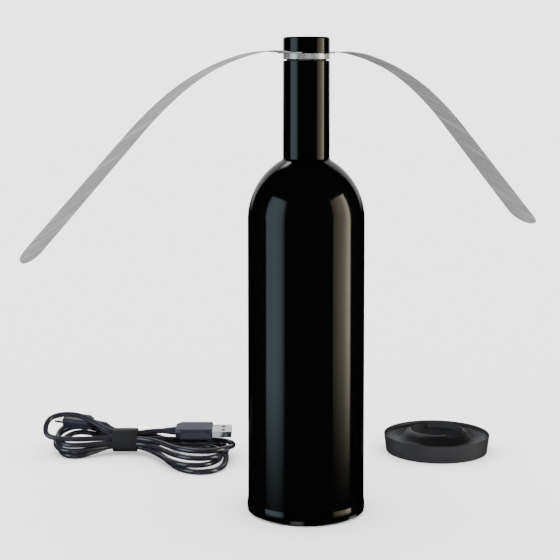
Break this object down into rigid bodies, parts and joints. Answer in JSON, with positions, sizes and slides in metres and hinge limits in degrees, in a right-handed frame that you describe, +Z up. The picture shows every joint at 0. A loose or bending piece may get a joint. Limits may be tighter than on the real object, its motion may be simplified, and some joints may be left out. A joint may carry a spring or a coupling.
{
  "type": "table fly fan",
  "caption": "Bottle-shaped table fly fan: a turning head with soft drooping blades on a gloss black bottle, with a twist-lock stand ring and a tied charging cable.",
  "frame": {"origin": "centre of the bottle's foot, on the surface that it stands on", "axes": "+Z up along the bottle and the head's axis of rotation; -Y is the front; the charging port and the switch face +Y"},
  "size_m": [0.3565, 0.2973, 0.3014],
  "materials": {
    "shell_gloss": "deep gloss black",
    "silver_trim": "satin silver",
    "blade_film": "soft grey film, satin",
    "ring_plastic": "satin black",
    "foot_rubber": "matte",
    "ballast_steel": "machined",
    "frame_plastic": "moulded",
    "switch_plastic": "satin",
    "motor_steel": "plated",
    "screw_steel": "plated",
    "magnet_ferrite": "sintered",
    "copper": "copper",
    "bush_bronze": "oiled bronze",
    "foam": "closed-cell foam",
    "cell_wrap": "shrink wrap",
    "nickel": "plated strip",
    "lead_red": "insulation",
    "lead_black": "insulation",
    "board_green": "solder mask",
    "led_white": "lens",
    "clear_pipe": "clear",
    "plug_steel": "stamped, plated",
    "tongue_plastic": "moulded",
    "contact_gold": "gold plated",
    "plug_plastic": "satin moulding",
    "cable_jacket": "smooth jacket",
    "tie_strap": "soft strap"
  },
  "bodies": {
    "bottle": {"bottle_shell": "shell_gloss", "neck_sleeve": "shell_gloss", "base_cap": "shell_gloss", "foot_ring": "foot_rubber", "ballast_disc": "ballast_steel", "inner_frame": "frame_plastic", "motor_mount": "frame_plastic", "switch_housing": "frame_plastic", "motor_end_bell": "frame_plastic", "motor_can": "motor_steel", "motor_screws": "screw_steel", "base_screws": "screw_steel", "board_screws": "screw_steel", "motor_magnets": "magnet_ferrite", "motor_bushings": "bush_bronze", "motor_foam_ring": "foam", "battery_cell": "cell_wrap", "battery_tabs": "nickel", "battery_lead_red": "lead_red", "motor_lead_red": "lead_red", "battery_lead_black": "lead_black", "motor_lead_black": "lead_black", "control_board": "board_green", "status_led": "led_white", "light_pipe": "clear_pipe", "usb_socket": "plug_steel", "usb_socket_tongue": "tongue_plastic"},
    "head": {"head_cap": "shell_gloss", "trim_band": "silver_trim", "rotor_hub": "frame_plastic", "motor_shaft": "motor_steel", "motor_armature": "copper", "motor_commutator": "copper", "blade_tab_left": "blade_film", "blade_tab_right": "blade_film"},
    "blade_left": {"blade_left": "blade_film"},
    "blade_right": {"blade_right": "blade_film"},
    "switch": {"switch_slider": "switch_plastic"},
    "stand_ring": {"stand_ring": "ring_plastic"},
    "cable": {"cable_hank": "cable_jacket", "cable_tie": "tie_strap", "usb_a_overmould": "plug_plastic", "usb_a_relief": "plug_plastic", "usb_a_shell": "plug_steel", "usb_a_tongue": "tongue_plastic", "usb_a_contacts": "contact_gold", "micro_overmould": "plug_plastic", "micro_relief": "plug_plastic", "micro_shell": "plug_steel", "micro_tongue": "tongue_plastic"}
  },
  "joints": [
    {"name": "head_spin", "type": "hinge", "parent": "bottle", "child": "head", "pos_m": [0, 0, 0.284], "axis": [0, 0, 1], "continuous": true},
    {"name": "blade_left_flex", "type": "hinge", "parent": "head", "child": "blade_left", "pos_m": [-0.01259, -0.00869, 0.29145], "axis": [0.5678, -0.8231, 0], "range_deg": [-25, 45], "stiffness_Nm_per_rad": 0.05, "springref_deg": -3.78},
    {"name": "blade_right_flex", "type": "hinge", "parent": "head", "child": "blade_right", "pos_m": [0.01259, 0.00869, 0.29145], "axis": [-0.5678, 0.8231, 0], "range_deg": [-25, 45], "stiffness_Nm_per_rad": 0.05, "springref_deg": -3.78},
    {"name": "switch_slide", "type": "slide", "parent": "bottle", "child": "switch", "axis": [1, 0, 0], "range_m": [0, 0.004]},
    {"name": "ring_lift", "type": "slide", "parent": "bottle", "child": "stand_ring", "axis": [0, 0, 1], "range_m": [0, 0.08]},
    {"name": "cable_lift", "type": "slide", "parent": "bottle", "child": "cable", "axis": [0, 0, 1], "range_m": [0, 0.08]}
  ]
}
